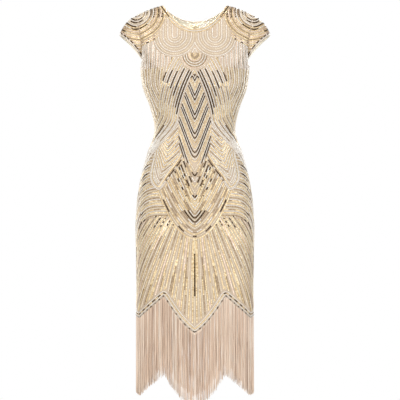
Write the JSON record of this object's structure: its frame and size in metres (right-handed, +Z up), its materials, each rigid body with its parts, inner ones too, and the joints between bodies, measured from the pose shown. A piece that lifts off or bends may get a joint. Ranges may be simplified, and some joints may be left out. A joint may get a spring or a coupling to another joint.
{
  "type": "flapper dress",
  "caption": "Beaded 1920s style evening dress with cap sleeves, a pointed hem and a long fringe, hollow as worn, with a back zip.",
  "frame": {"origin": "midway between the two high shoulder points, where the wearer's shoulders hold the dress up", "axes": "+Z up, the front of the dress faces -Y, the wearer's left side is +X"},
  "size_m": [0.4448, 0.2507, 1.175],
  "materials": {
    "beaded_net": "beige net covered in rows of small beads and champagne sequins",
    "lining": "smooth cream satin lining",
    "binding": "rolled bias edge",
    "fringe": "silky pinkish beige twisted fringe",
    "label": "bare woven label",
    "zip_tape": "woven zip tape",
    "zip_metal": "polished light gold metal"
  },
  "bodies": {
    "dress": {"front": "beaded_net", "back_left": "beaded_net", "back_right": "beaded_net", "sleeve_left": "beaded_net", "sleeve_right": "beaded_net", "fringe_front": "fringe", "fringe_back": "fringe", "neck_binding_front": "binding", "neck_binding_back_left": "binding", "neck_binding_back_right": "binding", "back_lining_left": "lining", "back_lining_right": "lining", "neck_label": "label", "zip_tape": "zip_tape", "zip_slider": "zip_metal"},
    "pull": {"zip_pull": "zip_metal"}
  },
  "joints": [
    {"name": "pull_swing", "type": "hinge", "parent": "dress", "child": "pull", "pos_m": [0, 0.07747, -0.04866], "axis": [1, 0, 0], "range_deg": [0, 165]}
  ]
}
